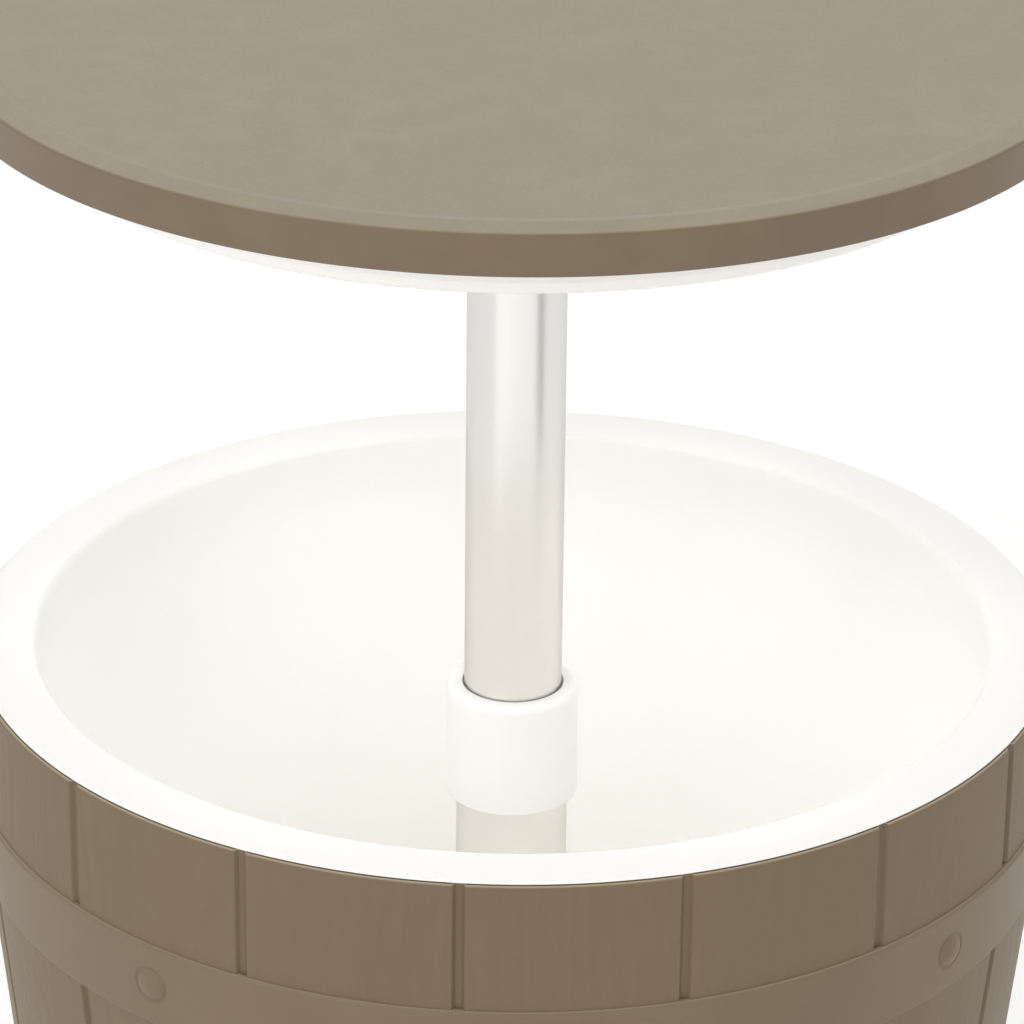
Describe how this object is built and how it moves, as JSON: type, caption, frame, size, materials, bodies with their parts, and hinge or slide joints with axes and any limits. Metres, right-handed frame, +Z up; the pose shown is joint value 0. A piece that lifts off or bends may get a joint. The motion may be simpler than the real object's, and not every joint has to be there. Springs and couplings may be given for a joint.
{
  "type": "cooler table with lid",
  "caption": "Insulated ice bucket shaped like a stave-built tub, with a round lid that rises on a telescopic centre post and locks to become a table top.",
  "frame": {"origin": "centre of the footprint, on the surface that the foot pads stand on", "axes": "+Z up along the post; -Y is the front that the picture shows, +X is to its right"},
  "size_m": [0.494, 0.494, 0.84],
  "materials": {
    "tub_resin": "brown moulded resin with a light wood grain, satin",
    "lid_resin": "the same brown resin with a fine mottle, satin",
    "base_resin": "dark brown moulded resin, matt",
    "bucket_white": "warm white moulded plastic, soft gloss",
    "collar_white": "white moulded plastic, soft gloss",
    "socket_resin": "glass-filled white plastic, matt",
    "guide_acetal": "natural acetal, satin",
    "soft_seal": "white soft rubber, matt",
    "pad_rubber": "black rubber, matt",
    "inner_tube_aluminium": "anodised tube, satin, drawn lengthwise",
    "outer_tube_aluminium": "anodised tube, satin",
    "cast_plug": "machined plug",
    "screw_steel": "stainless steel screws",
    "drain_resin": "dark brown plastic, satin",
    "insulation": "closed-cell foam"
  },
  "bodies": {
    "root": {"barrel_shell": "tub_resin", "base_pan": "base_resin", "bucket_liner": "bucket_white", "bucket_jacket": "insulation", "drain_fitting": "drain_resin", "drain_nut": "drain_resin", "drain_gasket": "soft_seal", "base_screws": "screw_steel", "foot_ring": "base_resin", "foot_pads": "pad_rubber", "lower_tube": "outer_tube_aluminium", "foot_plug": "cast_plug", "foot_washer": "screw_steel", "foot_bolt": "screw_steel", "floor_gasket": "soft_seal", "floor_flange": "collar_white", "floor_flange_screws": "screw_steel", "post_collar": "collar_white", "collar_bush": "guide_acetal", "collar_screw": "screw_steel"},
    "lock_carriage": {"lock_ring": "guide_acetal"},
    "lid": {"table_top": "lid_resin", "lid_lower_shell": "bucket_white", "lid_seal": "soft_seal", "lid_foam": "insulation", "lid_shell_screws": "screw_steel", "tube_socket": "socket_resin", "socket_screws": "screw_steel", "tube_cross_screw": "screw_steel", "upper_tube": "inner_tube_aluminium", "lock_stem": "guide_acetal", "stem_rivet": "screw_steel", "lock_washer": "screw_steel", "lock_screw": "screw_steel"},
    "drain_plug": {"drain_plug": "drain_resin"}
  },
  "joints": [
    {"name": "lid_lift", "type": "slide", "parent": "root", "child": "lock_carriage", "axis": [0, 0, 1], "range_m": [-0.2697, 0]},
    {"name": "lid_twist", "type": "hinge", "parent": "lock_carriage", "child": "lid", "pos_m": [0, 0, 0.452], "axis": [0, 0, 1], "range_deg": [0, 90]},
    {"name": "drain_pull", "type": "slide", "parent": "root", "child": "drain_plug", "axis": [-0.1089, 0.9941, 0], "range_m": [0, 0.026]}
  ]
}
